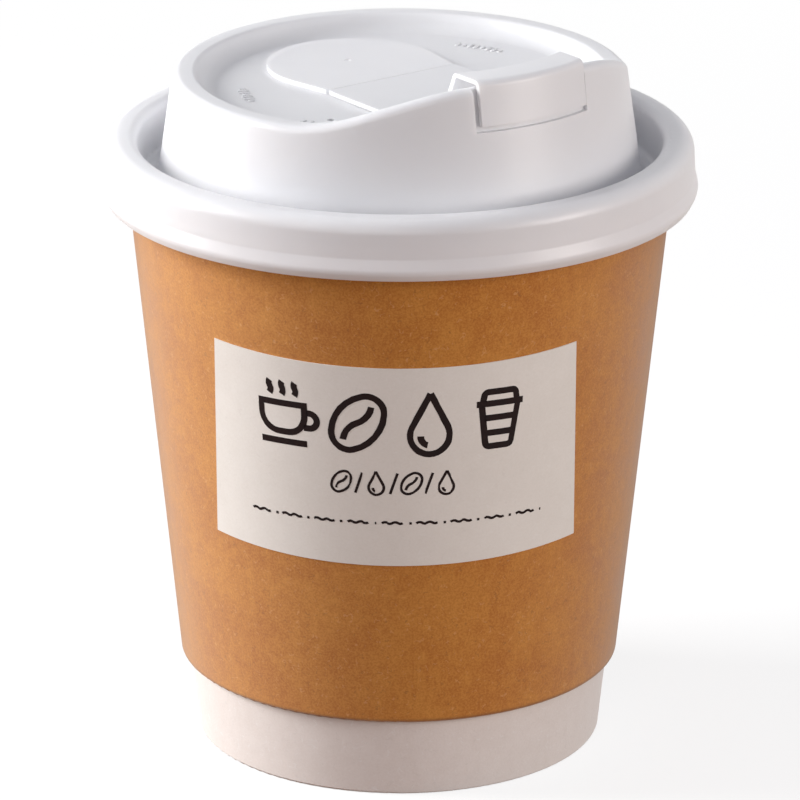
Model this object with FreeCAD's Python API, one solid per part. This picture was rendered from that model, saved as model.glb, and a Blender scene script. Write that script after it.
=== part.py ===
# Paper coffee cup: double walled paper cup with a moulded sip lid, whose flap turns on a crease.
# Millimetres, +Z up. The origin is the centre of the ring that the cup stands on.
# The label faces -Y. The spout lies spoutAngle degrees from -Y towards +X.
import FreeCAD, Part
import math
import os

# Inner paper cup
cupHeight = 98.0           # table to the top of the rolled rim
baseRadius = 32.2          # outside of the wall at the table
mouthRadius = 42.35        # outside of the wall, right under the rolled rim
board = 0.4                # thickness of the cup's paper board
rollRadius = 1.4           # outside radius of the rolled rim's section
rollTurn = 305.0           # degrees that the board turns in the roll
bottomRecess = 7.5         # table to the top of the bottom board
foldRadius = 0.25          # bend of the board's middle line at each fold
hemGap = 0.65              # from the foot's hem, folded up inside, to the bottom board's bend
cupSeamWidth = 6.0         # glued overlap of the side seam
glueLine = 0.03            # between boards that are glued face to face

# Outer kraft wall
kraftBoard = 0.4
sleeveFoot = 13.2          # table to its lower edge
sleeveTopGap = 0.9         # from its top edge to the rolled rim
airGapFoot = 0.53          # between its two boards at the lower edge
airGapTop = 0.37           # between it and the cup at the top edge
sleeveFoldHeight = 6.0     # how far the lower edge is folded up inside
sleeveSeamWidth = 8.0

# Label
labelWidth = 55.4          # straight across, from edge to edge
labelHeight = 33.4
labelMiddle = 57.2         # height of its middle
labelPaper = 0.12
labelTurn = -1.2           # degrees round the cup, positive towards +X

# Lid, a moulded sheet of one thickness
lidWall = 0.6
lidSeat = 0.15             # clearance over the rolled rim
lidSide = 0.25             # clearance between the channel and the roll's inner side
skirtDrop = 9.35           # from the channel's top to the skirt's lower edge
skirtClearance = 0.5       # between the rolled rim and the skirt
skirtRound = 2.4
waistStep = 0.3            # how far the skirt stands out more, over the bulge at its lower edge
waistRise = 3.4            # from the lower edge
bulgeStep = 0.85
bulgeRise = 1.3
bulgeRound = 1.5
edgeStep = 0.2             # at the lower edge itself
channelRound = 1.6
beadDrop = 4.6             # snap bead's middle, below the channel's top
beadRadius = 0.55
beadClearance = 0.1        # beside the rolled rim
gutterDepth = 6.9
gutterDraft = 0.7
gutterRound = 0.8
gutterWidth = 2.55         # of its flat floor, as far as the dome
domeDraft = 8.3            # degrees
domeFootRound = 1.3
rimRise = 10.3             # channel's top to the crest of the drinking rim at the back
spoutRise = 6.6            # how much higher the crest is at the spout
rampStart = 18.3           # where the crest's slope meets the level, from the lid's axis towards the spout
rampEnd = 31.3             # where it meets the spout's height
rampStartRound = 22.0
rampEndRound = 12.0
rimWidth = 3.5             # of the drinking rim at its crest, before the edges are rounded
bowlRound = 3.5            # concave corner between the deck and the rim
lipOuterRound = 1.4
lipInnerRound = 0.9
deckDrop = 2.7             # from the back rim's crest down to the deck
spoutAngle = 36.8          # degrees from the label's side towards +X
padRaise = 0.8             # height of the pad and of the closed flap's top over the deck
padHalfWidth = 12.3        # at the crease
padEndRadius = 13.7        # its round back end
padEndPlace = -12.2        # that end's centre, from the lid's axis, positive towards the spout
creasePlace = -2.3
creaseGap = 0.15
creaseNotch = 0.4
gatePlace = -13.9          # mark that the moulding gate leaves on the pad
gateRadius = 0.5
gateDepth = 0.15
sipPlace = 14.0            # oval hole: its middle, its ends' radius and the straight between them
sipRadius = 4.5
sipStraight = 6.0
ventAlong = 8.7            # small round vent, along the spout's direction and across it
ventAcross = -19.7
ventRadius = 0.6

# Flap, moulded in the same sheet
flapThickness = 0.7
flapHalfWidth = 12.3
flapEndGap = 6.5           # from the front end of its wide part to the rim's inner side
flapCorner = 3.0
archHalfWidth = 10.0
archFootGap = 6.7          # from where its inner side leaves the plate to the rim's inner side
archHeadGap = 2.8          # from where that side meets its top
archClearance = 0.2        # to the rim's crest and to the recess behind the hook
archRound = 0.4            # inside its upper corners
archFootRound = 1.5        # under its foot
hookDrop = 7.0             # from the arch's top to the hook's lower edge
hookProud = 0.15           # how far the hook stands out of the dome's wall
recessGap = 0.85           # beside the hook towards the label, and under it
recessFarGap = 0.25        # beside its other edge
plugDepth = 3.6            # below the flap's top
plugClearance = 0.3        # in the sip hole
plugDraft = 0.45           # how much its radius shrinks to its lower end

os.makedirs("parts", exist_ok=True)
up = FreeCAD.Vector(0, 0, 1)


def pt(x, z):
    return FreeCAD.Vector(x, 0, z)


def away(a, b):
    # unit vector from a to b in the section plane, and the one square to it on its left
    d = (b - a).normalize()
    return d, FreeCAD.Vector(-d.z, 0, d.x)


def shifted(points, distance):
    # the open line moved sideways, to its left for a positive distance, with mitred corners
    moved = []
    for i, p in enumerate(points):
        before = away(points[i - 1], p)[1] if i else None
        after = away(p, points[i + 1])[1] if i + 1 < len(points) else None
        if before is None or after is None:
            moved.append(p + (after or before) * distance)
            continue
        middle = before + after
        moved.append(p + middle * (2 * distance / middle.dot(middle)))
    return moved


def roundedLine(points, radii):
    # edges along the points, each inner corner rounded by its radius
    edges = []
    start = points[0]
    for i, radius in enumerate(radii, 1):
        corner = points[i]
        back = away(corner, points[i - 1])[0]
        on = away(corner, points[i + 1])[0]
        half = back.getAngle(on) / 2
        reach = radius / math.tan(half)
        middle = corner + (back + on).normalize() * (radius / math.sin(half) - radius)
        first = corner + back * reach
        last = corner + on * reach
        edges.append(Part.LineSegment(start, first).toShape())
        edges.append(Part.Arc(first, middle, last).toShape())
        start = last
    edges.append(Part.LineSegment(start, points[-1]).toShape())
    return edges


def movedRadii(points, radii, distance):
    # radii of the same corners once the line is moved to its left by the distance
    moved = []
    for i, radius in enumerate(radii, 1):
        turn = away(points[i - 1], points[i])[0].cross(away(points[i], points[i + 1])[0]).y
        moved.append(radius + distance if turn > 0 else radius - distance)
    return moved


def sheetFace(points, radii, thickness):
    # section of a sheet that lies on the left of the points, with its corners rounded
    near = roundedLine(points, radii)
    other = shifted(points, thickness)
    far = roundedLine(other, movedRadii(points, radii, thickness))
    firstEnd = Part.LineSegment(points[0], other[0]).toShape()
    lastEnd = Part.LineSegment(points[-1], other[-1]).toShape()
    return Part.Face(Part.Wire(Part.__sortEdges__(near + far + [firstEnd, lastEnd])))


def turned(face, degrees=360.0, middleDirection=0.0):
    # revolved round the cup's axis, its middle at a direction counted from +X
    solid = face.revolve(FreeCAD.Vector(), up, degrees)
    solid.rotate(FreeCAD.Vector(), up, middleDirection - degrees / 2)
    return solid


def polygonFace(points):
    return Part.Face(Part.makePolygon(points + [points[0]]))


def cupRadius(z):
    return baseRadius + (mouthRadius - baseRadius) * z / (cupHeight - 2 * rollRadius)


def sleeveRadius(z):
    return footOutside + sleeveSlope * (z - sleeveFoot)


# Outer wall's top edge, radii and slope, from the cup that it is glued to
sleeveTop = cupHeight - 2 * rollRadius - sleeveTopGap
footOutside = cupRadius(sleeveFoot) + glueLine + 2 * kraftBoard + airGapFoot
topOutside = cupRadius(sleeveTop) + glueLine + kraftBoard + airGapTop
sleeveSlope = (topOutside - footOutside) / (sleeveTop - sleeveFoot)


def hemmedFace(outer, inner, low, high, foldTop, thickness):
    # a wall whose lower edge is folded up inside: outer and inner give the two faces' radii
    points = [pt(inner(foldTop), foldTop), pt(inner(low), low), pt(outer(low), low), pt(outer(high), high)]
    return sheetFace(points, [foldRadius + thickness / 2] * 2, thickness)


def lapSeam(radius, depth, low, high, width, direction):
    # a strip along a wall's side, from the radius inwards for a negative depth, outwards otherwise
    root = -depth / 4
    corners = [(root, low), (root, high), (depth, high), (depth, low)]
    face = polygonFace([pt(radius(z) + step, z) for step, z in corners])
    return turned(face, math.degrees(width / radius(low)), direction)


def rollCentre():
    middle = cupHeight - rollRadius
    return pt(cupRadius(middle) - board + rollRadius, middle)


def cupWall():
    # side wall, with the hem folded up at the foot, the rim rolled outward and the glued side seam
    def hem(z):
        return cupRadius(z) - 3 * board - 2 * glueLine

    def inside(z):
        return cupRadius(z) - board

    def onRoll(radius, degrees):
        angle = math.radians(degrees)
        return rollCentre() + pt(radius * math.cos(angle), radius * math.sin(angle))

    hemTop = bottomRecess - board - foldRadius - hemGap
    wall = turned(hemmedFace(cupRadius, hem, 0, rollCentre().z, hemTop, board))
    arcs = []
    for radius in (rollRadius, rollRadius - board):
        along = [onRoll(radius, 180 - rollTurn * share) for share in (0, 0.5, 1)]
        arcs.append((along[0], along[2], Part.Arc(*along).toShape()))
    ends = [Part.LineSegment(arcs[0][i], arcs[1][i]).toShape() for i in (0, 1)]
    curl = turned(Part.Face(Part.Wire(Part.__sortEdges__([arcs[0][2], arcs[1][2]] + ends))))
    seam = lapSeam(inside, -board, bottomRecess + board, rollCentre().z - board, cupSeamWidth, 90)
    return wall.fuse([curl, seam]).removeSplitter()


def cupBottom():
    # round board whose edge is turned down between the wall and its hem
    def outside(z):
        return cupRadius(z) - board - glueLine

    low = board + foldRadius
    points = [pt(outside(low), low), pt(outside(bottomRecess), bottomRecess), pt(0, bottomRecess)]
    return turned(sheetFace(points, [board + foldRadius], board))


def kraftSleeve():
    # second wall, glued to the cup under the rim and by its folded lower edge
    def inner(z):
        return cupRadius(z) + glueLine

    foldTop = sleeveFoot + sleeveFoldHeight
    wall = turned(hemmedFace(sleeveRadius, inner, sleeveFoot, sleeveTop, foldTop, kraftBoard))
    seam = lapSeam(sleeveRadius, kraftBoard, sleeveFoot + 2 * foldRadius, sleeveTop, sleeveSeamWidth, 90)
    return wall.fuse(seam).removeSplitter()


def label():
    # flat paper wrapped on the sleeve: its upper and lower edges lie square to the wall's slope
    slope = math.atan(sleeveSlope)
    ends = (labelMiddle - labelHeight, labelMiddle + labelHeight)
    near, far = glueLine, glueLine + labelPaper
    face = polygonFace([pt(sleeveRadius(z) + r, z) for r, z in
                        ((near, ends[0]), (far, ends[0]), (far, ends[1]), (near, ends[1]))])
    frontRadius = sleeveRadius(labelMiddle)
    block = Part.makeBox(labelWidth, frontRadius, labelHeight)
    block.translate(FreeCAD.Vector(-labelWidth / 2, -1.5 * frontRadius, -labelHeight / 2))
    block.rotate(FreeCAD.Vector(0, -frontRadius, 0), FreeCAD.Vector(1, 0, 0), math.degrees(slope))
    block.translate(FreeCAD.Vector(0, 0, labelMiddle))
    paper = turned(face, 170, -90).common(block)
    paper.rotate(FreeCAD.Vector(), up, labelTurn)
    return paper


# Heights and radii of the lid, from the cup that it sits on
channelTop = cupHeight + lidSeat + lidWall
gutterFloor = channelTop - gutterDepth
rimCrest = channelTop + rimRise
spoutCrest = rimCrest + spoutRise
deckTop = rimCrest - deckDrop
flapTop = deckTop + padRaise
archTop = spoutCrest + archClearance + flapThickness
hookFoot = archTop - hookDrop
recessDepth = archClearance + flapThickness - hookProud
skirtRadius = rollCentre().x + rollRadius + skirtClearance + lidWall
channelInside = rollCentre().x - rollRadius - lidSide - lidWall
domeFootRadius = channelInside - gutterDraft - gutterWidth


def domeRadius(z):
    return domeFootRadius - (z - gutterFloor) * math.tan(math.radians(domeDraft))


bowlRadius = domeRadius(rimCrest) - rimWidth
flapEndRadius = bowlRadius - flapEndGap


def slotPrism(radius, endRadius, low, high):
    # upright oval block across the spout's direction, its ends' radius changing from high to low
    wires = []
    for z, r in ((high, radius), (low, endRadius)):
        half = sipStraight / 2
        corners = [FreeCAD.Vector(sipPlace + x * r, y * half, z)
                   for x, y in ((1, -1), (1, 1), (-1, 1), (-1, -1))]
        tips = [FreeCAD.Vector(sipPlace, y * (half + r), z) for y in (1, -1)]
        edges = [Part.LineSegment(corners[0], corners[1]), Part.Arc(corners[1], tips[0], corners[2]),
                 Part.LineSegment(corners[2], corners[3]), Part.Arc(corners[3], tips[1], corners[0])]
        wires.append(Part.Wire([edge.toShape() for edge in edges]))
    return Part.makeLoft(wires, True, True)


def domeBody(inset):
    # the drinking dome as a filled body, every face moved inwards by the inset; the spout lies along +X
    low = gutterFloor - lidWall - inset
    high = spoutCrest + spoutRise
    reach = 2 * domeFootRadius
    side = inset / math.cos(math.radians(domeDraft))
    cone = turned(polygonFace([pt(0, low), pt(domeRadius(low) - side, low),
                               pt(domeRadius(high) - side, high), pt(0, high)]))
    # what lies over the rim, cut square across the spout's direction
    ramp = [pt(-reach, rimCrest), pt(rampStart, rimCrest), pt(rampEnd, spoutCrest), pt(reach, spoutCrest)]
    rounds = [rampStartRound, rampEndRound]
    edges = roundedLine(shifted(ramp, -inset), movedRadii(ramp, rounds, -inset))
    ends = [shifted(ramp, -inset)[i] for i in (0, -1)]
    over = Part.makePolygon([ends[0], pt(-reach, high), pt(reach, high), ends[1]])
    above = Part.Face(Part.Wire(Part.__sortEdges__(edges + over.Edges)))
    above.translate(FreeCAD.Vector(0, -reach, 0))
    # the bowl over the deck
    bowlWall = bowlRadius + inset
    floor = deckTop - inset
    bowlLine = roundedLine([pt(0, floor), pt(bowlWall, floor), pt(bowlWall, high)], [bowlRound + inset])
    bowlRest = Part.makePolygon([pt(bowlWall, high), pt(0, high), pt(0, floor)])
    bowl = turned(Part.Face(Part.Wire(Part.__sortEdges__(bowlLine + bowlRest.Edges))))
    body = cone.cut(above.extrude(FreeCAD.Vector(0, 2 * reach, 0))).cut(bowl)
    # the crest's two edges are rounded
    crest = rimCrest - inset
    body = body.makeFillet(lipOuterRound - inset, edgesOn(body, lambda z: domeRadius(z) - side, crest))
    return body.makeFillet(lipInnerRound - inset, edgesOn(body, lambda z: bowlWall, crest))


def recessBlock(inset):
    # what the recess behind the hook takes out of the dome's side
    side = inset / math.cos(math.radians(domeDraft))
    low = hookFoot - recessGap - inset
    high = spoutCrest + spoutRise
    far = 2 * domeFootRadius
    ring = turned(polygonFace([pt(domeRadius(low) - recessDepth - side, low), pt(far, low),
                               pt(far, high), pt(domeRadius(high) - recessDepth - side, high)]))
    first = archHalfWidth + recessGap + inset
    width = first + archHalfWidth + recessFarGap + inset
    return ring.common(Part.makeBox(far, width, high, FreeCAD.Vector(0, -first, 0)))


def pad():
    # fixed back part of the tongue, raised on the deck from the crease to its round end
    front = creasePlace - creaseGap / 2
    low = deckTop - lidWall / 2
    # its sides run from the notches at the crease to the round end, where they touch it
    reach = FreeCAD.Vector(front - creaseNotch - padEndPlace, padHalfWidth, 0)
    turn = math.atan2(reach.y, reach.x) + math.acos(padEndRadius / reach.Length)
    side = FreeCAD.Vector(padEndPlace + padEndRadius * math.cos(turn), padEndRadius * math.sin(turn), low)
    half = [FreeCAD.Vector(front, padHalfWidth - creaseNotch, low),
            FreeCAD.Vector(front - creaseNotch, padHalfWidth, low), side]
    mirrored = [FreeCAD.Vector(p.x, -p.y, low) for p in reversed(half)]
    end = Part.Arc(side, FreeCAD.Vector(padEndPlace - padEndRadius, 0, low), mirrored[0])
    sides = Part.makePolygon(mirrored + half).Edges
    return Part.Face(Part.Wire(Part.__sortEdges__(sides + [end.toShape()]))).extrude(up * (flapTop - low))


def lid():
    # the outer ring: skirt with its bulging lower edge, channel over the rolled rim, and gutter
    low = channelTop - skirtDrop
    skirt = [pt(skirtRadius + edgeStep, low), pt(skirtRadius + bulgeStep, low + bulgeRise),
             pt(skirtRadius + waistStep, low + waistRise)]
    channel = [pt(skirtRadius, channelTop), pt(channelInside, channelTop)]
    gutter = [pt(channelInside - gutterDraft, gutterFloor), pt(domeFootRadius - lidWall / 2, gutterFloor)]
    rounds = [bulgeRound, bulgeRound, skirtRound, channelRound, gutterRound]
    ring = turned(sheetFace(skirt + channel + gutter, rounds, lidWall))
    # the snap bead under the rolled rim
    beadMiddle = rollCentre().x + rollRadius + beadClearance + beadRadius
    bead = Part.makeTorus(beadMiddle, beadRadius, FreeCAD.Vector(0, 0, channelTop - beadDrop), up)
    # the dome's sheet, with the recess for the hook
    dome = domeBody(0).cut(recessBlock(0)).cut(domeBody(lidWall).cut(recessBlock(lidWall)))
    whole = ring.fuse([bead, dome, pad()]).removeSplitter()
    foot = edgesOn(whole, domeRadius, gutterFloor, gutterFloor)
    whole = whole.makeFillet(domeFootRound, foot)
    under = deckTop - 2 * lidWall
    sip = slotPrism(sipRadius, sipRadius, under, under + 4 * lidWall)
    vent = Part.makeCylinder(ventRadius, 4 * lidWall, FreeCAD.Vector(ventAlong, ventAcross, under))
    gate = Part.makeCylinder(gateRadius, lidWall, FreeCAD.Vector(gatePlace, 0, flapTop - gateDepth))
    return whole.cut([sip, vent, gate])


def lidFlap():
    # tongue in front of the crease: plate, hollow plug in the sip hole, arch over the spout and hook
    under = flapTop - flapThickness
    back = creasePlace + creaseGap / 2
    front = bowlRadius
    half = [(back, flapHalfWidth - creaseNotch), (back + creaseNotch, flapHalfWidth), (front, flapHalfWidth)]
    outline = [FreeCAD.Vector(x, y, under) for x, y in half]
    outline += [FreeCAD.Vector(x, -y, under) for x, y in reversed(half)]
    plate = polygonFace(outline).extrude(up * flapThickness)
    plate = plate.common(Part.makeCylinder(flapEndRadius, flapThickness, FreeCAD.Vector(0, 0, under)))
    corners = [e for e in plate.Edges if e.BoundBox.ZLength > flapThickness / 2 and e.CenterOfMass.x > 0
               and abs(math.hypot(e.CenterOfMass.x, e.CenterOfMass.y) - flapEndRadius) < 0.01]
    plate = plate.makeFillet(flapCorner, corners)
    archUnder = archTop - flapThickness
    archFoot = bowlRadius - archFootGap
    line = [pt(archFoot / 2, under), pt(archFoot, under), pt(bowlRadius - archHeadGap, archUnder)]
    line += [pt(domeRadius(z) - recessDepth + archClearance, z) for z in (archUnder, hookFoot)]
    arch = turned(sheetFace(line, [archFootRound, archRound, archRound], flapThickness), 120)
    corner = FreeCAD.Vector(0, -archHalfWidth, deckTop - hookDrop)
    arch = arch.common(Part.makeBox(2 * bowlRadius, 2 * archHalfWidth, 4 * hookDrop, corner))
    radius = sipRadius - plugClearance
    foot = flapTop - plugDepth
    plug = slotPrism(radius, radius - plugDraft, foot, flapTop)
    inside = radius - flapThickness
    hollow = slotPrism(inside, inside - plugDraft, foot + flapThickness, flapTop)
    return plate.fuse([arch, plug]).removeSplitter().cut(hollow)


def edgesOn(shape, radius, low, high=1000):
    # edges that lie on the radius given for each height, between the two heights
    found = []
    for edge in shape.Edges:
        span = edge.LastParameter - edge.FirstParameter
        spots = [edge.valueAt(edge.FirstParameter + span * share) for share in (0.1, 0.5, 0.9)]
        onRadius = all(abs(math.hypot(p.x, p.y) - radius(p.z)) < 0.01 for p in spots)
        if onRadius and all(low - 0.01 < p.z < high + 0.01 for p in spots):
            found.append(edge)
    return found


def main():
    spoutDirection = spoutAngle - 90
    pieces = {"cup_wall": cupWall(), "cup_bottom": cupBottom(), "kraft_sleeve": kraftSleeve(),
              "label": label(), "lid": lid(), "lid_flap": lidFlap()}
    for name in ("lid", "lid_flap"):
        pieces[name].rotate(FreeCAD.Vector(), up, spoutDirection)
    for name, shape in pieces.items():
        solid = shape.Solids[0]
        solid.exportStep(f"parts/{name}.step")
        print(name, len(shape.Solids), solid.isValid(), round(solid.Volume, 1), len(solid.Faces))


if __name__ == "__main__":
    main()
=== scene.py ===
# Looks of the paper coffee cup: kraft wall, white cup, printed label and moulded sip lid.
# Metres, +Z up. Sizes written in millimetres are multiplied by mm.
import math

import bpy
from mathutils import Matrix, Vector


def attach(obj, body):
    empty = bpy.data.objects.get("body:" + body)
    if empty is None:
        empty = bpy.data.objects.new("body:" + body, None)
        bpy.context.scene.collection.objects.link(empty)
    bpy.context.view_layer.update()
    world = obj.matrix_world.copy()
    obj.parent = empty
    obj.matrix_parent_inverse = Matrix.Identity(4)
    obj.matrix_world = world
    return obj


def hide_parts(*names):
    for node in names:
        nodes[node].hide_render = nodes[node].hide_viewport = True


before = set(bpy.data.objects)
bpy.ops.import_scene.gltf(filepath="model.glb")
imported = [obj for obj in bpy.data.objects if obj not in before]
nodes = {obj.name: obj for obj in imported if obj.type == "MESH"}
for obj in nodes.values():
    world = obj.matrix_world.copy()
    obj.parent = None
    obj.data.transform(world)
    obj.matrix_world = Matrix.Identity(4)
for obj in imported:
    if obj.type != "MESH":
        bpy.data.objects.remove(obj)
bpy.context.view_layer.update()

mm = 0.001


def newTree(name):
    # an empty material and its node tree
    material = bpy.data.materials.new(name)
    material.use_nodes = True
    material.node_tree.nodes.clear()
    return material, material.node_tree


def addNode(tree, kind, **values):
    # a node with its settings, and its inputs by their names where they aren't settings
    node = tree.nodes.new(kind)
    for key, value in values.items():
        if hasattr(node, key):
            setattr(node, key, value)
        else:
            node.inputs[key].default_value = value
    return node


def link(tree, fromSocket, toSocket):
    tree.links.new(fromSocket, toSocket)


def feed(tree, socket, value):
    # a socket takes a link or a fixed value
    if isinstance(value, bpy.types.NodeSocket):
        link(tree, value, socket)
    else:
        socket.default_value = value


def mathNode(tree, operation, *values):
    node = tree.nodes.new("ShaderNodeMath")
    node.operation = operation
    for socket, value in zip(node.inputs, values):
        feed(tree, socket, value)
    return node.outputs[0]


def smoothMask(tree, value, low, high):
    # 0 below low and 1 above high, soft between
    node = tree.nodes.new("ShaderNodeMapRange")
    node.interpolation_type = "SMOOTHSTEP"
    link(tree, value, node.inputs["Value"])
    node.inputs["From Min"].default_value = low
    node.inputs["From Max"].default_value = high
    return node.outputs["Result"]


def mixColour(tree, factor, first, second):
    node = tree.nodes.new("ShaderNodeMix")
    node.data_type = "RGBA"
    sockets = [socket for socket in node.inputs if socket.enabled]
    for socket, value in zip(sockets, (factor, first, second)):
        feed(tree, socket, value)
    return [socket for socket in node.outputs if socket.enabled][0]


def choose(piece):
    # this piece alone is selected and active
    bpy.ops.object.select_all(action="DESELECT")
    piece.select_set(True)
    bpy.context.view_layer.objects.active = piece


def copyPiece(piece):
    choose(piece)
    bpy.ops.object.duplicate()
    return bpy.context.object


def joinPieces(pieces):
    choose(pieces[0])
    for piece in pieces:
        piece.select_set(True)
    bpy.ops.object.join()
    return bpy.context.object


cameraSet = {
    "target": (0.0, 0.0, 54.2 * mm),
    "distance": 936 * mm,
    "elevation": 19.58,      # degrees
    "sensor": 36,            # millimetres, as the lens
    "lens": 264.9,
    "roll": 0.13,            # degrees, the foot to the left
    "shift": 0.0008,         # of the picture's width
    "clip": (0.05, 50),
}


def makeCamera():
    values = cameraSet
    slope = math.radians(values["elevation"])
    back = Vector((0, -math.cos(slope), math.sin(slope)))
    bpy.ops.object.camera_add(location=Vector(values["target"]) + back * values["distance"])
    camera = bpy.context.object
    camera.name = "photoCamera"
    look = (-back).to_track_quat("-Z", "Y").to_matrix()
    look = look @ Matrix.Rotation(math.radians(values["roll"]), 3, "Z")
    camera.rotation_euler = look.to_euler()
    camera.data.sensor_width = values["sensor"]
    camera.data.lens = values["lens"]
    camera.data.shift_x = values["shift"]
    camera.data.clip_start, camera.data.clip_end = values["clip"]
    bpy.context.scene.camera = camera


makeCamera()
print("camera ready")


lamps = {
    "windowLamp": {"azimuth": -94, "elevation": 21, "distance": 0.9, "width": 0.40, "height": 0.55,
                   "power": 11.8, "colour": (1.0, 0.99, 0.98)},
    "fillLamp": {"azimuth": 64, "elevation": 13, "distance": 0.9, "width": 0.36, "height": 0.40,
                 "power": 3.7, "colour": (1.0, 0.93, 0.88)},
    "frontLamp": {"azimuth": -6, "elevation": 20, "distance": 0.9, "width": 0.50, "height": 0.40,
                  "power": 1.0, "colour": (1.0, 0.98, 0.98)},
}
lampAim = (0, 0, 60 * mm)


def makeLamps():
    # azimuth 0 is in front of the label, and it grows towards +X
    for name, values in lamps.items():
        turn = math.radians(values["azimuth"])
        rise = math.radians(values["elevation"])
        out = Vector((math.sin(turn) * math.cos(rise), -math.cos(turn) * math.cos(rise), math.sin(rise)))
        bpy.ops.object.light_add(type="AREA", location=Vector(lampAim) + out * values["distance"])
        lamp = bpy.context.object
        lamp.name = name
        lamp.rotation_euler = (-out).to_track_quat("-Z", "Y").to_euler()
        lamp.data.shape = "RECTANGLE"
        lamp.data.size = values["width"]
        lamp.data.size_y = values["height"]
        lamp.data.energy = values["power"]
        lamp.data.color = values["colour"]


def seenRays(tree):
    # 1 for what the camera, a gloss or a clear thing sees
    path = tree.nodes.new("ShaderNodeLightPath")
    some = mathNode(tree, "MAXIMUM", path.outputs["Is Camera Ray"], path.outputs["Is Glossy Ray"])
    return mathNode(tree, "MAXIMUM", some, path.outputs["Is Transmission Ray"])


roomSet = {"ambient": (0.32, 0.325, 0.36), "seen": (1, 1, 1)}


def makeWorld():
    world = bpy.data.worlds.new("plainRoom")
    bpy.context.scene.world = world
    world.use_nodes = True
    tree = world.node_tree
    tree.nodes.clear()
    out = tree.nodes.new("ShaderNodeOutputWorld")
    room = addNode(tree, "ShaderNodeBackground", Color=(*roomSet["ambient"], 1), Strength=1.0)
    white = addNode(tree, "ShaderNodeBackground", Color=(*roomSet["seen"], 1), Strength=1.0)
    mix = tree.nodes.new("ShaderNodeMixShader")
    link(tree, seenRays(tree), mix.inputs[0])
    link(tree, room.outputs[0], mix.inputs[1])
    link(tree, white.outputs[0], mix.inputs[2])
    link(tree, mix.outputs[0], out.inputs[0])


floorSet = {
    "size": 8.0,
    "bounce": (0.17, 0.065, 0.02),       # what it throws back on the cup
    "seen": (0.26, 0.26, 0.26),          # holds the shadow
    "glow": 0.78,                        # lifts it to near white
    "fade": (0.12, 0.5),                 # from the cup's axis, to plain white
}


def makeFloor():
    bpy.ops.mesh.primitive_plane_add(size=floorSet["size"], location=(0, 0, 0))
    floor = bpy.context.object
    floor.name = "floor"
    material, tree = newTree("paleFloor")
    out = tree.nodes.new("ShaderNodeOutputMaterial")
    bounce = addNode(tree, "ShaderNodeBsdfDiffuse", Color=(*floorSet["bounce"], 1))
    seen = addNode(tree, "ShaderNodeBsdfDiffuse", Color=(*floorSet["seen"], 1))
    glow = addNode(tree, "ShaderNodeEmission", Color=(1, 1, 1, 1), Strength=floorSet["glow"])
    both = tree.nodes.new("ShaderNodeAddShader")
    link(tree, seen.outputs[0], both.inputs[0])
    link(tree, glow.outputs[0], both.inputs[1])
    # plain white away from the cup, so that the floor runs into the white room
    white = addNode(tree, "ShaderNodeEmission", Color=(1, 1, 1, 1), Strength=1.0)
    place = tree.nodes.new("ShaderNodeTexCoord")
    length = tree.nodes.new("ShaderNodeVectorMath")
    length.operation = "LENGTH"
    link(tree, place.outputs["Object"], length.inputs[0])
    far = smoothMask(tree, length.outputs["Value"], *floorSet["fade"])
    fade = tree.nodes.new("ShaderNodeMixShader")
    link(tree, far, fade.inputs[0])
    link(tree, both.outputs[0], fade.inputs[1])
    link(tree, white.outputs[0], fade.inputs[2])
    mix = tree.nodes.new("ShaderNodeMixShader")
    link(tree, seenRays(tree), mix.inputs[0])
    link(tree, bounce.outputs[0], mix.inputs[1])
    link(tree, fade.outputs[0], mix.inputs[2])
    link(tree, mix.outputs[0], out.inputs[0])
    floor.data.materials.append(material)


bpy.context.scene.view_settings.view_transform = "Standard"
makeLamps()
makeWorld()
makeFloor()
print("lamps, world and floor ready")


# what the boards, the label and the ink share; a mask goes from 0 to 1 between its two values
pulpSet = {
    "scales": {"Cloud Scale": 120, "Grain Scale": 2600, "Fibre Scale": 700, "Speck Scale": 260},
    "cloudShares": (0.6, 0.4),           # of the wide and the fine clouds
    "fineClouds": 6.0,                   # times the cloud scale
    "cloudMask": (0.34, 0.66),
    "grainMask": (0.33, 0.67),
    "streaks": 8.0,                      # times the cloud scale
    "streakDraw": (1.0, 1.0, 0.07),      # drawn out along the height
    "streakMask": (0.3, 0.7),
    "fibres": {"Fibre": (0.0, 0.030), "Pale Fibre": (7.3, 0.034)},       # place in the noise, and width
    "fibreCore": 0.3,                    # share of the width that is fully there
    "fibreCuts": 1.1,                    # times the fibre scale
    "cutMask": (0.57, 0.66),
    "speckChance": (0.80, 1.0),
    "speckSize": 0.055,                  # of a cell
    "speckEdge": 0.012,
    "cloudHeight": 0.8,                  # beside the grain's 1
    "roughSpread": 0.06,
}


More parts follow.
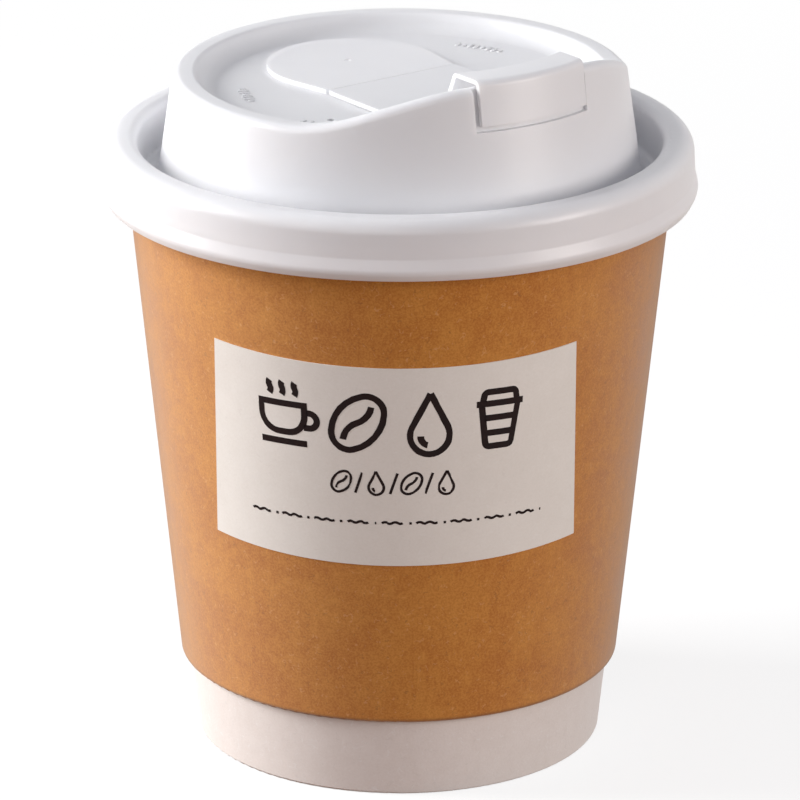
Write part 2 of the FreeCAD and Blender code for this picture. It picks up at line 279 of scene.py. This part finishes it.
def paperGroup():
    # pulp of a paper board: clouds, fine grain, faint upright streaks, curled fibres and dark specks
    values = pulpSet
    group = bpy.data.node_groups.new("paperPulp", "ShaderNodeTree")
    face = group.interface
    for name, value in values["scales"].items():
        face.new_socket(name, in_out="INPUT", socket_type="NodeSocketFloat").default_value = value
    for name in ("Cloud", "Grain", "Streak", "Fibre", "Pale Fibre", "Speck", "Height"):
        face.new_socket(name, in_out="OUTPUT", socket_type="NodeSocketFloat")
    source = group.nodes.new("NodeGroupInput")
    result = group.nodes.new("NodeGroupOutput")
    place = group.nodes.new("ShaderNodeTexCoord").outputs["Object"]
    cloudScale = source.outputs["Cloud Scale"]
    fibreScale = source.outputs["Fibre Scale"]

    def noise(vector, scale, detail, roughness):
        node = addNode(group, "ShaderNodeTexNoise", Detail=detail, Roughness=roughness)
        link(group, vector, node.inputs["Vector"])
        link(group, scale, node.inputs["Scale"])
        return node.outputs["Fac"]

    def times(first, second):
        return mathNode(group, "MULTIPLY", first, second)

    def mask(value, name):
        return smoothMask(group, value, *values[name])

    wide = noise(place, cloudScale, detail=3.0, roughness=0.6)
    fine = noise(place, times(cloudScale, values["fineClouds"]), detail=2.0, roughness=0.5)
    wideShare, fineShare = values["cloudShares"]
    clouds = mathNode(group, "ADD", times(wide, wideShare), times(fine, fineShare))
    link(group, mask(clouds, "cloudMask"), result.inputs["Cloud"])
    grain = noise(place, source.outputs["Grain Scale"], detail=2.0, roughness=0.65)
    link(group, mask(grain, "grainMask"), result.inputs["Grain"])
    tall = addNode(group, "ShaderNodeVectorMath", operation="MULTIPLY")
    link(group, place, tall.inputs[0])
    tall.inputs[1].default_value = values["streakDraw"]
    streak = noise(tall.outputs[0], times(cloudScale, values["streaks"]), detail=2.0, roughness=0.5)
    link(group, mask(streak, "streakMask"), result.inputs["Streak"])
    # a fibre is the thin line where a noise crosses its middle value, cut short by another noise
    for name, (shift, width) in values["fibres"].items():
        moved = addNode(group, "ShaderNodeVectorMath", operation="ADD")
        link(group, place, moved.inputs[0])
        moved.inputs[1].default_value = (shift, -shift, shift / 2)
        curl = noise(moved.outputs[0], fibreScale, detail=1.0, roughness=0.4)
        offLine = mathNode(group, "ABSOLUTE", mathNode(group, "SUBTRACT", curl, 0.5))
        beside = smoothMask(group, offLine, width * values["fibreCore"], width)
        line = mathNode(group, "SUBTRACT", 1.0, beside)
        cut = noise(moved.outputs[0], times(fibreScale, values["fibreCuts"]), detail=1.0, roughness=0.5)
        link(group, times(line, mask(cut, "cutMask")), result.inputs[name])
    # few cells hold a speck, each of its own size
    cells = addNode(group, "ShaderNodeTexVoronoi", feature="F1", Randomness=1.0)
    link(group, place, cells.inputs["Vector"])
    link(group, source.outputs["Speck Scale"], cells.inputs["Scale"])
    chance = group.nodes.new("ShaderNodeSeparateColor")
    link(group, cells.outputs["Color"], chance.inputs[0])
    size = times(mask(chance.outputs[0], "speckChance"), values["speckSize"])
    inside = mathNode(group, "SUBTRACT", size, cells.outputs["Distance"])
    link(group, smoothMask(group, inside, 0.0, values["speckEdge"]), result.inputs["Speck"])
    height = mathNode(group, "ADD", grain, times(clouds, values["cloudHeight"]))
    link(group, height, result.inputs["Height"])
    return group


pulp = paperGroup()


def paperMaterial(values):
    # one paper board, in its own colours
    material, tree = newTree(values["name"])
    out = tree.nodes.new("ShaderNodeOutputMaterial")
    shader = tree.nodes.new("ShaderNodeBsdfPrincipled")
    link(tree, shader.outputs[0], out.inputs[0])
    fibres = tree.nodes.new("ShaderNodeGroup")
    fibres.node_tree = pulp
    for name in pulpSet["scales"]:
        fibres.inputs[name].default_value = values[name]
    tone = None
    for name, share in zip(("Cloud", "Grain", "Streak"), values["shares"]):
        part = mathNode(tree, "MULTIPLY", fibres.outputs[name], share)
        tone = part if tone is None else mathNode(tree, "ADD", tone, part)
    colour = mixColour(tree, tone, values["dark"], values["light"])
    for name, key in (("Fibre", "fibre"), ("Pale Fibre", "paleFibre"), ("Speck", "speck")):
        amount = mathNode(tree, "MULTIPLY", fibres.outputs[name], values[key + "Amount"])
        colour = mixColour(tree, amount, colour, values[key])
    if "fold" in values:
        # painted shade: the kraft is darkened along its folded lower edge, where shade falls under the fold
        place = tree.nodes.new("ShaderNodeSeparateXYZ")
        link(tree, tree.nodes.new("ShaderNodeTexCoord").outputs["Object"], place.inputs[0])
        above = smoothMask(tree, place.outputs["Z"], *values["fold"])
        amount = mathNode(tree, "MULTIPLY", mathNode(tree, "SUBTRACT", 1.0, above), values["foldAmount"])
        colour = mixColour(tree, amount, colour, values["foldShade"])
    link(tree, colour, shader.inputs["Base Color"])
    rough = tree.nodes.new("ShaderNodeMapRange")
    link(tree, fibres.outputs["Cloud"], rough.inputs["Value"])
    rough.inputs["To Min"].default_value = values["rough"] - pulpSet["roughSpread"]
    rough.inputs["To Max"].default_value = values["rough"] + pulpSet["roughSpread"]
    link(tree, rough.outputs["Result"], shader.inputs["Roughness"])
    shader.inputs["Specular IOR Level"].default_value = values["specular"]
    shader.inputs["Specular Tint"].default_value = values["tint"]
    shader.inputs["Sheen Weight"].default_value = values["sheen"]
    shader.inputs["Sheen Roughness"].default_value = values["sheenRough"]
    shader.inputs["Sheen Tint"].default_value = values["sheenTint"]
    bump = addNode(tree, "ShaderNodeBump", Strength=values["bump"], Distance=values["bumpHeight"])
    link(tree, fibres.outputs["Height"], bump.inputs["Height"])
    link(tree, bump.outputs[0], shader.inputs["Normal"])
    return material


def dress(piece, material):
    # a piece gets its material in every slot
    if not piece.data.materials:
        piece.data.materials.append(material)
    for place in piece.material_slots:
        place.material = material


kraft = {
    "name": "kraftPaper", "Cloud Scale": 95, "Grain Scale": 3000, "Fibre Scale": 900, "Speck Scale": 230,
    "shares": (0.44, 0.46, 0.10),        # of the clouds, the grain and the streaks
    # painted shade along the folded lower edge, darker towards the bottom
    "fold": (13.4 * mm, 14.1 * mm),      # heights where the folded lower edge's shade is whole and gone
    "foldShade": (0.12, 0.035, 0.010, 1), "foldAmount": 0.75,
    "dark": (0.375, 0.110, 0.006, 1), "light": (0.59, 0.252, 0.040, 1),
    "fibre": (0.20, 0.07, 0.015, 1), "fibreAmount": 0.40,
    "paleFibre": (0.70, 0.40, 0.17, 1), "paleFibreAmount": 0.35,
    "speck": (0.09, 0.035, 0.012, 1), "speckAmount": 0.7,
    "rough": 0.54, "specular": 0.6, "tint": (0.95, 0.52, 0.26, 1), "bump": 0.35, "bumpHeight": 0.05 * mm,
    "sheen": 0.90, "sheenRough": 0.50, "sheenTint": (1.0, 0.88, 0.74, 1),
}
whiteBoard = {
    "name": "whiteCupBoard", "Cloud Scale": 80, "Grain Scale": 2600, "Fibre Scale": 800, "Speck Scale": 110,
    "shares": (0.5, 0.35, 0.15),
    "dark": (0.78, 0.72, 0.68, 1), "light": (0.84, 0.79, 0.755, 1),
    "fibre": (0.66, 0.62, 0.58, 1), "fibreAmount": 0.25,
    "paleFibre": (0.92, 0.92, 0.91, 1), "paleFibreAmount": 0.3,
    "speck": (0.35, 0.25, 0.18, 1), "speckAmount": 0.35,
    "rough": 0.5, "specular": 0.4, "tint": (1.0, 1.0, 1.0, 1), "bump": 0.40, "bumpHeight": 0.07 * mm,
    "sheen": 0.0, "sheenRough": 0.5, "sheenTint": (1.0, 1.0, 1.0, 1),
}
labelPaper = {
    "name": "labelPaper", "Cloud Scale": 60, "Grain Scale": 2400, "Fibre Scale": 900, "Speck Scale": 90,
    "shares": (0.5, 0.4, 0.1),
    "dark": (0.79, 0.76, 0.71, 1), "light": (0.84, 0.815, 0.77, 1),
    "fibre": (0.68, 0.64, 0.60, 1), "fibreAmount": 0.2,
    "paleFibre": (0.90, 0.89, 0.87, 1), "paleFibreAmount": 0.2,
    "speck": (0.4, 0.33, 0.26, 1), "speckAmount": 0.2,
    "rough": 0.45, "specular": 0.45, "tint": (1.0, 1.0, 1.0, 1), "bump": 0.15, "bumpHeight": 0.03 * mm,
    "sheen": 0.0, "sheenRough": 0.5, "sheenTint": (1.0, 1.0, 1.0, 1),
}
inkFilm = {
    "name": "labelInk", "Cloud Scale": 120, "Grain Scale": 2400, "Fibre Scale": 900, "Speck Scale": 120,
    "shares": (0.5, 0.4, 0.1),
    "dark": (0.006, 0.002, 0.002, 1), "light": (0.014, 0.005, 0.004, 1),
    "fibre": (0.03, 0.015, 0.012, 1), "fibreAmount": 0.3,
    "paleFibre": (0.04, 0.022, 0.018, 1), "paleFibreAmount": 0.2,
    "speck": (0.06, 0.04, 0.035, 1), "speckAmount": 0.3,
    "rough": 0.60, "specular": 0.12, "tint": (1.0, 1.0, 1.0, 1), "bump": 0.10, "bumpHeight": 0.02 * mm,
    "sheen": 0.0, "sheenRough": 0.5, "sheenTint": (1.0, 1.0, 1.0, 1),
}
boardFinish = paperMaterial(whiteBoard)
dress(nodes["cup_wall"], boardFinish)
dress(nodes["cup_bottom"], boardFinish)
dress(nodes["kraft_sleeve"], paperMaterial(kraft))
dress(nodes["label"], paperMaterial(labelPaper))
print("paper ready")

plastic = {
    "name": "lidPlastic", "colour": (0.84, 0.84, 0.855, 1), "shade": (0.815, 0.815, 0.835, 1),
    "flowScale": 45.0, "flowMask": (0.3, 0.7),             # slow waves of a thin moulding
    "fineScale": 900.0, "fineHeight": 0.12,                # satin, beside the waves' height of 1
    "rough": (0.29, 0.41),
    "bump": 0.25, "waveHeight": 0.24 * mm,
    "glow": 0.45, "glowDepth": 2.2 * mm,                   # light that goes into the sheet and out again
    "glowSpread": (1.0, 0.95, 0.9),
    "smoothAngle": 30,                                     # degrees
    "merge": 0.002 * mm,
}


def plasticMaterial(values):
    # moulded polypropylene: satin, faintly uneven as a thin moulding is
    material, tree = newTree(values["name"])
    out = tree.nodes.new("ShaderNodeOutputMaterial")
    shader = tree.nodes.new("ShaderNodeBsdfPrincipled")
    link(tree, shader.outputs[0], out.inputs[0])
    place = tree.nodes.new("ShaderNodeTexCoord").outputs["Object"]
    flow = addNode(tree, "ShaderNodeTexNoise", Scale=values["flowScale"], Detail=3.0, Roughness=0.5)
    link(tree, place, flow.inputs["Vector"])
    flowMask = smoothMask(tree, flow.outputs["Fac"], *values["flowMask"])
    colour = mixColour(tree, flowMask, values["shade"], values["colour"])
    link(tree, colour, shader.inputs["Base Color"])
    fine = addNode(tree, "ShaderNodeTexNoise", Scale=values["fineScale"], Detail=3.0, Roughness=0.6)
    link(tree, place, fine.inputs["Vector"])
    rough = tree.nodes.new("ShaderNodeMapRange")
    link(tree, fine.outputs["Fac"], rough.inputs["Value"])
    rough.inputs["To Min"].default_value, rough.inputs["To Max"].default_value = values["rough"]
    link(tree, rough.outputs["Result"], shader.inputs["Roughness"])
    shader.inputs["Subsurface Weight"].default_value = values["glow"]
    shader.inputs["Subsurface Radius"].default_value = values["glowSpread"]
    shader.inputs["Subsurface Scale"].default_value = values["glowDepth"]
    satin = mathNode(tree, "MULTIPLY", fine.outputs["Fac"], values["fineHeight"])
    height = mathNode(tree, "ADD", flow.outputs["Fac"], satin)
    bump = addNode(tree, "ShaderNodeBump", Strength=values["bump"], Distance=values["waveHeight"])
    link(tree, height, bump.inputs["Height"])
    link(tree, bump.outputs[0], shader.inputs["Normal"])
    return material


def mergedCopy(nodeName, pieceName, body):
    # a moulded node's copy stands for it, with its loose triangles joined
    piece = copyPiece(nodes[nodeName])
    piece.name = pieceName
    bpy.ops.mesh.customdata_custom_splitnormals_clear()
    bpy.ops.object.mode_set(mode="EDIT")
    bpy.ops.mesh.select_all(action="SELECT")
    bpy.ops.mesh.remove_doubles(threshold=plastic["merge"])
    bpy.ops.object.mode_set(mode="OBJECT")
    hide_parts(nodeName)
    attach(piece, body)
    return piece


def smoothOver(piece):
    # smooth over its round edges, flat on its flats
    choose(piece)
    bpy.ops.object.shade_smooth_by_angle(angle=math.radians(plastic["smoothAngle"]))
    even = piece.modifiers.new("even", "WEIGHTED_NORMAL")
    even.keep_sharp = True
    bpy.ops.object.modifier_apply(modifier="even")


# the mouth of the hollow plug in the flap opens out a little, in millimetres
mouth = {
    "turn": 36.8,            # degrees, from the front to the spout
    "place": 14.0,           # of its middle, from the lid's axis towards the spout
    "straight": 6.0,         # between the centres of its round ends
    "top": 107.15,           # of the flap's plate
    "low": (-0.60, 3.4),     # height from that top, and radius of the ends there
    "high": (0.30, 4.85),    # steeper than the smoothing angle, so that the plate stays flat
    "points": 96,
}


def openMouth(piece):
    values = mouth
    low, lowRadius = values["low"]
    high, highRadius = values["high"]
    widen = highRadius / lowRadius
    bpy.ops.object.select_all(action="DESELECT")
    bpy.ops.mesh.primitive_circle_add(vertices=values["points"], radius=lowRadius * mm, fill_type="NGON")
    cutter = bpy.context.object
    bpy.ops.object.mode_set(mode="EDIT")
    bpy.ops.mesh.select_all(action="SELECT")
    bpy.ops.mesh.extrude_region_move(TRANSFORM_OT_translate={"value": (0, 0, (high - low) * mm)})
    bpy.ops.transform.resize(value=(widen, widen, 1))
    bpy.ops.mesh.select_all(action="SELECT")
    bpy.ops.mesh.normals_make_consistent(inside=False)
    bpy.ops.object.mode_set(mode="OBJECT")
    # its halves are drawn apart to an oval
    for vertex in cutter.data.vertices:
        vertex.co.x += math.copysign(values["straight"] / 2 * mm, vertex.co.x)
    turn = math.radians(values["turn"])
    place = Vector((math.sin(turn), -math.cos(turn), 0)) * values["place"]
    cutter.location = (place + Vector((0, 0, values["top"] + low))) * mm
    cutter.rotation_euler = (0, 0, turn)
    bpy.ops.object.transform_apply(location=True, rotation=True, scale=True)
    cut = piece.modifiers.new("cut", "BOOLEAN")
    cut.operation = "DIFFERENCE"
    cut.object = cutter
    choose(piece)
    bpy.ops.object.modifier_apply(modifier="cut")
    bpy.data.objects.remove(cutter)


lidFinish = plasticMaterial(plastic)
sipLid = mergedCopy("lid", "sipLid", "lid")
sipFlap = mergedCopy("lid_flap", "sipFlap", "flap")
openMouth(sipFlap)
for moulding in (sipLid, sipFlap):
    smoothOver(moulding)
    dress(moulding, lidFinish)
print("lid ready")

# print of the label, in millimetres
inkSet = {
    "turn": -1.2,            # degrees round the cup, as the label's
    "radius": 42.0,          # bent round this first, then laid on the label
    "thickness": 0.03,
    "step": 0.8,             # longest face along a line
    "arcStep": 12,           # degrees
    "shortest": 0.01,        # move that is drawn
    "merge": 0.03,           # of a ring's two ends
    "iconPen": 1.05,
    "iconScale": 1.1,
    "iconHeight": 64.3,      # of the middle of the large icons
    "iconPlaces": (-17.6, -5.9, 5.8, 17.2),
    "rowPen": 0.42,
    "rowHeight": 54.3,
    "rowPlaces": (-8.7, -2.9, 2.9, 8.7),
    "rowScale": 0.43,
    "linePen": 0.42,
    "lineHeight": 47.4,
    "linePlaces": (-23.2, -17.4, -11.6, -5.8, 0.0, 5.8, 11.6, 17.4, 23.2),
}
# a stroke is the X and Z of its start, its heading in degrees and its moves: a length straight on,
# or the degrees of a turn to the left and its radius
steam = (0.2, (60, 0.9), (-60, 0.9))
icons = {
    "cup": (
        (-4.6, 1.95, 0, (7.8,)),
        (-4.15, 1.6, -90, (1.3, (90, 2.7), 1.5, (90, 2.7), 1.3)),
        (3.1, 0.9, 0, (0.4, (-180, 1.15), 0.9)),
        (-4.4, -3.9, 0, (7.4,)),
        (-2.7, 3.3, 60, steam),
        (-0.7, 3.3, 60, steam),
        (1.3, 3.3, 60, steam),
    ),
    "bean": (
        (2.49, -2.09, 50, (0.1, (35, 6.2), (110, 2.6), (70, 6.2), (110, 2.6), (35, 6.2))),
        (-2.12, -2.53, 80, (0.1, (-60, 3.3), (60, 3.3))),
    ),
    "drop": (
        (0.0, 4.7, -63, (5.69, (-234, 2.9), 5.69)),
        (-1.35, -1.8, -90, (0.1, (80, 1.3))),
    ),
    "carryCup": (
        (-2.75, 2.1, -83, (5.6, (83, 0.7), 2.75, (83, 0.7), 5.6)),
        (-3.6, 2.5, 0, (7.2,)),
        (-2.6, 2.9, 80, (0.9, (-80, 0.6), 3.7, (-80, 0.6), 0.9)),
        (-2.3, 0.3, 0, (4.6,)),
        (-2.05, -2.0, 0, (4.1,)),
    ),
    "slash": (
        (-0.56, -1.75, 72, (3.7,)),
    ),
    "wave": (
        (-2.0, 0.1, 35, (0.1, (-70, 0.75), (70, 0.75), (-70, 0.75), (70, 0.75))),
        (2.55, 0.1, 0, (0.4,)),
    ),
}


def drawStroke(x, z, heading, moves, pen):
    # a flat ribbon in the plane of X and Z, drawn as a pen goes
    values = inkSet
    angle = math.radians(heading)
    ahead = Vector((math.cos(angle), 0, math.sin(angle)))
    start = Vector((x, 0, z)) * mm
    first = min(moves[0], values["step"]) * mm
    moves = [moves[0] - first / mm, *moves[1:]]
    bpy.ops.mesh.primitive_plane_add(size=1.0)
    ribbon = bpy.context.object
    ribbon.scale = (first, pen * mm, 1)
    ribbon.rotation_euler = (math.radians(90), -angle, 0)
    ribbon.location = start + ahead * first / 2
    bpy.ops.object.transform_apply(location=True, rotation=True, scale=True)
    opening = start + ahead * first
    point = opening
    # the first face's far edge is drawn on
    bpy.ops.object.mode_set(mode="EDIT")
    bpy.ops.mesh.select_mode(type="EDGE")
    bpy.ops.mesh.select_all(action="DESELECT")
    bpy.ops.object.mode_set(mode="OBJECT")
    far = [(vertex.co - point).dot(ahead) > -first / 2 for vertex in ribbon.data.vertices]
    for edge in ribbon.data.edges:
        edge.select = far[edge.vertices[0]] and far[edge.vertices[1]]
    bpy.ops.object.mode_set(mode="EDIT")
    for move in moves:
        if isinstance(move, tuple):
            turn, radius = math.radians(move[0]), move[1] * mm
            reach = math.copysign(radius, turn)
            centre = point + Vector((-math.sin(angle), 0, math.cos(angle))) * reach
            steps = max(2, math.ceil(abs(move[0]) / values["arcStep"]))
            bpy.ops.mesh.spin(steps=steps, angle=turn, center=centre, axis=(0, 1, 0))
            angle += turn
            point = centre - Vector((-math.sin(angle), 0, math.cos(angle))) * reach
        elif move > values["shortest"]:
            ahead = Vector((math.cos(angle), 0, math.sin(angle)))
            steps = max(1, math.ceil(move / values["step"]))
            for i in range(steps):
                part = ahead * (move * mm / steps)
                bpy.ops.mesh.extrude_edges_move(TRANSFORM_OT_translate={"value": part})
            point = point + ahead * move * mm
    bpy.ops.mesh.select_mode(type="FACE")
    bpy.ops.mesh.select_all(action="DESELECT")
    bpy.ops.object.mode_set(mode="OBJECT")
    closes = (point - opening).length < values["merge"] * mm
    if closes and len(ribbon.data.polygons) > 1:
        # a ring: its short first face goes and its ends are merged
        ribbon.data.polygons[0].select = True
        bpy.ops.object.mode_set(mode="EDIT")
        bpy.ops.mesh.delete(type="FACE")
        bpy.ops.mesh.select_all(action="SELECT")
        bpy.ops.mesh.remove_doubles(threshold=values["merge"] * mm)
        bpy.ops.object.mode_set(mode="OBJECT")
    return ribbon


def drawIcon(name, scale, pen):
    # an icon's strokes about the origin
    strokes = []
    for startX, startZ, heading, moves in icons[name]:
        sized = []
        for move in moves:
            sized.append((move[0], move[1] * scale) if isinstance(move, tuple) else move * scale)
        strokes.append(drawStroke(startX * scale, startZ * scale, heading, sized, pen))
    return joinPieces(strokes)


def layOut(name, across, height, scale, pen):
    # an icon drawn once, at its first place, and copied to the others
    first = drawIcon(name, scale, pen)
    marks = [first] + [copyPiece(first) for x in across[1:]]
    for mark, x in zip(marks, across):
        choose(mark)
        mark.location = (x * mm, 0, height * mm)
        bpy.ops.object.transform_apply(location=True, rotation=False, scale=False)
    return marks


def faceFront(sheet):
    # all faces of the flat sheet look to the front
    choose(sheet)
    bpy.ops.object.mode_set(mode="EDIT")
    bpy.ops.mesh.select_mode(type="FACE")
    bpy.ops.mesh.select_all(action="DESELECT")
    bpy.ops.object.mode_set(mode="OBJECT")
    for face in sheet.data.polygons:
        face.select = face.normal.y > 0
    bpy.ops.object.mode_set(mode="EDIT")
    bpy.ops.mesh.flip_normals()
    bpy.ops.object.mode_set(mode="OBJECT")


def printLabel():
    values = inkSet
    marks = []
    for name, x in zip(("cup", "bean", "drop", "carryCup"), values["iconPlaces"]):
        marks += layOut(name, (x,), values["iconHeight"], values["iconScale"], values["iconPen"])
    row = values["rowPlaces"]
    for name, across in (("bean", row[0::2]), ("drop", row[1::2])):
        marks += layOut(name, across, values["rowHeight"], values["rowScale"], values["rowPen"])
    between = [(left + right) / 2 for left, right in zip(row, row[1:])]
    marks += layOut("slash", between, values["rowHeight"], 1.0, values["rowPen"])
    marks += layOut("wave", values["linePlaces"], values["lineHeight"], 1.0, values["linePen"])
    ink = joinPieces(marks)
    faceFront(ink)
    ink.name = "labelInk"
    # bent round the cup, turned with the label and laid on it
    across = [vertex.co.x for vertex in ink.data.vertices]
    bend = ink.modifiers.new("bend", "SIMPLE_DEFORM")
    bend.deform_method = "BEND"
    bend.deform_axis = "Z"
    bend.angle = (max(across) - min(across)) / (values["radius"] * mm)
    bpy.ops.object.modifier_apply(modifier="bend")
    ink.location = (0, -values["radius"] * mm, 0)
    bpy.ops.object.transform_apply(location=True, rotation=False, scale=False)
    ink.rotation_euler = (0, 0, math.radians(values["turn"]))
    bpy.ops.object.transform_apply(location=False, rotation=True, scale=False)
    wrap = ink.modifiers.new("wrap", "SHRINKWRAP")
    wrap.target = nodes["label"]
    wrap.wrap_method = "NEAREST_SURFACEPOINT"
    wrap.wrap_mode = "ABOVE_SURFACE"
    wrap.offset = values["thickness"] * mm
    bpy.ops.object.modifier_apply(modifier="wrap")
    film = ink.modifiers.new("film", "SOLIDIFY")
    film.thickness = values["thickness"] * mm
    film.offset = -1
    bpy.ops.object.modifier_apply(modifier="film")
    dress(ink, paperMaterial(inkFilm))
    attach(ink, "cup")


printLabel()
print("label print ready")

# raised moulding marks on the lid's deck, plain ticks along three arcs, in millimetres
markSet = {
    "deck": 106.35,          # its height
    "radius": 24.6,
    "arcs": ((186, 201, 7), (50, 68, 8), (233, 242, 4)),   # first and last degrees from +X, and the count
    "length": 1.7, "width": 0.5, "height": 0.18, "sunk": 0.1,
    "round": 0.08, "segments": 2,
    "small": 0.6,            # length of a small one, as a share
    "smallEvery": 3,
}


def makeTick(share):
    # one tick, lying outwards along +X
    values = markSet
    middle = values["deck"] + (values["height"] - values["sunk"]) / 2
    bpy.ops.object.select_all(action="DESELECT")
    bpy.ops.mesh.primitive_cube_add(size=1.0, location=(values["radius"] * mm, 0, middle * mm))
    tick = bpy.context.object
    tick.scale = (values["length"] * share * mm, values["width"] * mm,
                  (values["height"] + values["sunk"]) * mm)
    bpy.ops.object.transform_apply(location=True, rotation=True, scale=True)
    edges = tick.modifiers.new("edges", "BEVEL")
    edges.width = values["round"] * mm
    edges.segments = values["segments"]
    bpy.ops.object.modifier_apply(modifier="edges")
    bpy.ops.object.shade_smooth_by_angle(angle=math.radians(plastic["smoothAngle"]))
    return tick


def markDeck():
    values = markSet
    plain = makeTick(1.0)
    small = makeTick(values["small"])
    marks = []
    for first, last, count in values["arcs"]:
        for i in range(count):
            mark = copyPiece(plain if i % values["smallEvery"] else small)
            mark.rotation_euler = (0, 0, math.radians(first + (last - first) * i / (count - 1)))
            bpy.ops.object.transform_apply(location=False, rotation=True, scale=False)
            marks.append(mark)
    bpy.data.objects.remove(plain)
    bpy.data.objects.remove(small)
    piece = joinPieces(marks)
    piece.name = "deckMarks"
    dress(piece, lidFinish)
    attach(piece, "lid")


markDeck()
print("deck marks ready")
